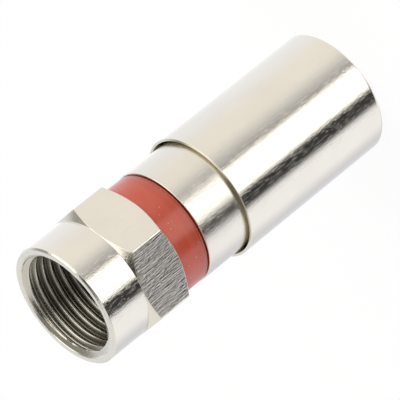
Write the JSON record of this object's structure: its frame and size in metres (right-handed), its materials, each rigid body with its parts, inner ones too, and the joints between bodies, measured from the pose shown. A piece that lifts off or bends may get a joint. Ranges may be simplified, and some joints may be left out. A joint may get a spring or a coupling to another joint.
{
  "type": "coaxial f connector",
  "caption": "Compression coaxial plug: a swivelling threaded hex nut, a banded metal body and a sliding rear sleeve.",
  "frame": {"origin": "centre of the rear face of the compression sleeve, on which the connector stands", "axes": "+Z along the connector's axis, from the cable end to the thread end; a corner of the nut's hexagon points to -Y"},
  "size_m": [0.0112, 0.0126, 0.0311],
  "materials": {
    "nickel_plate": "polished nickel plating on turned brass, finely scratched",
    "tin_plate": "satin tin plating on turned brass",
    "red_rubber": "satin moulded rubber with fine streaks and dust",
    "seal_rubber": "matt black rubber",
    "white_acetal": "turned white plastic"
  },
  "bodies": {
    "sleeve": {"compression_sleeve": "nickel_plate", "grip_ferrule": "white_acetal", "cable_seal": "seal_rubber"},
    "body": {"connector_body": "nickel_plate", "centre_post": "tin_plate", "colour_band": "red_rubber", "nut_seal": "seal_rubber"},
    "nut": {"coupling_nut": "nickel_plate"}
  },
  "joints": [
    {"name": "body_slide", "type": "slide", "parent": "sleeve", "child": "body", "axis": [0, 0, -1], "range_m": [0, 0.0042]},
    {"name": "nut_swivel", "type": "hinge", "parent": "body", "child": "nut", "pos_m": [0, 0, 0.0242], "axis": [0, 0, 1], "continuous": true}
  ]
}
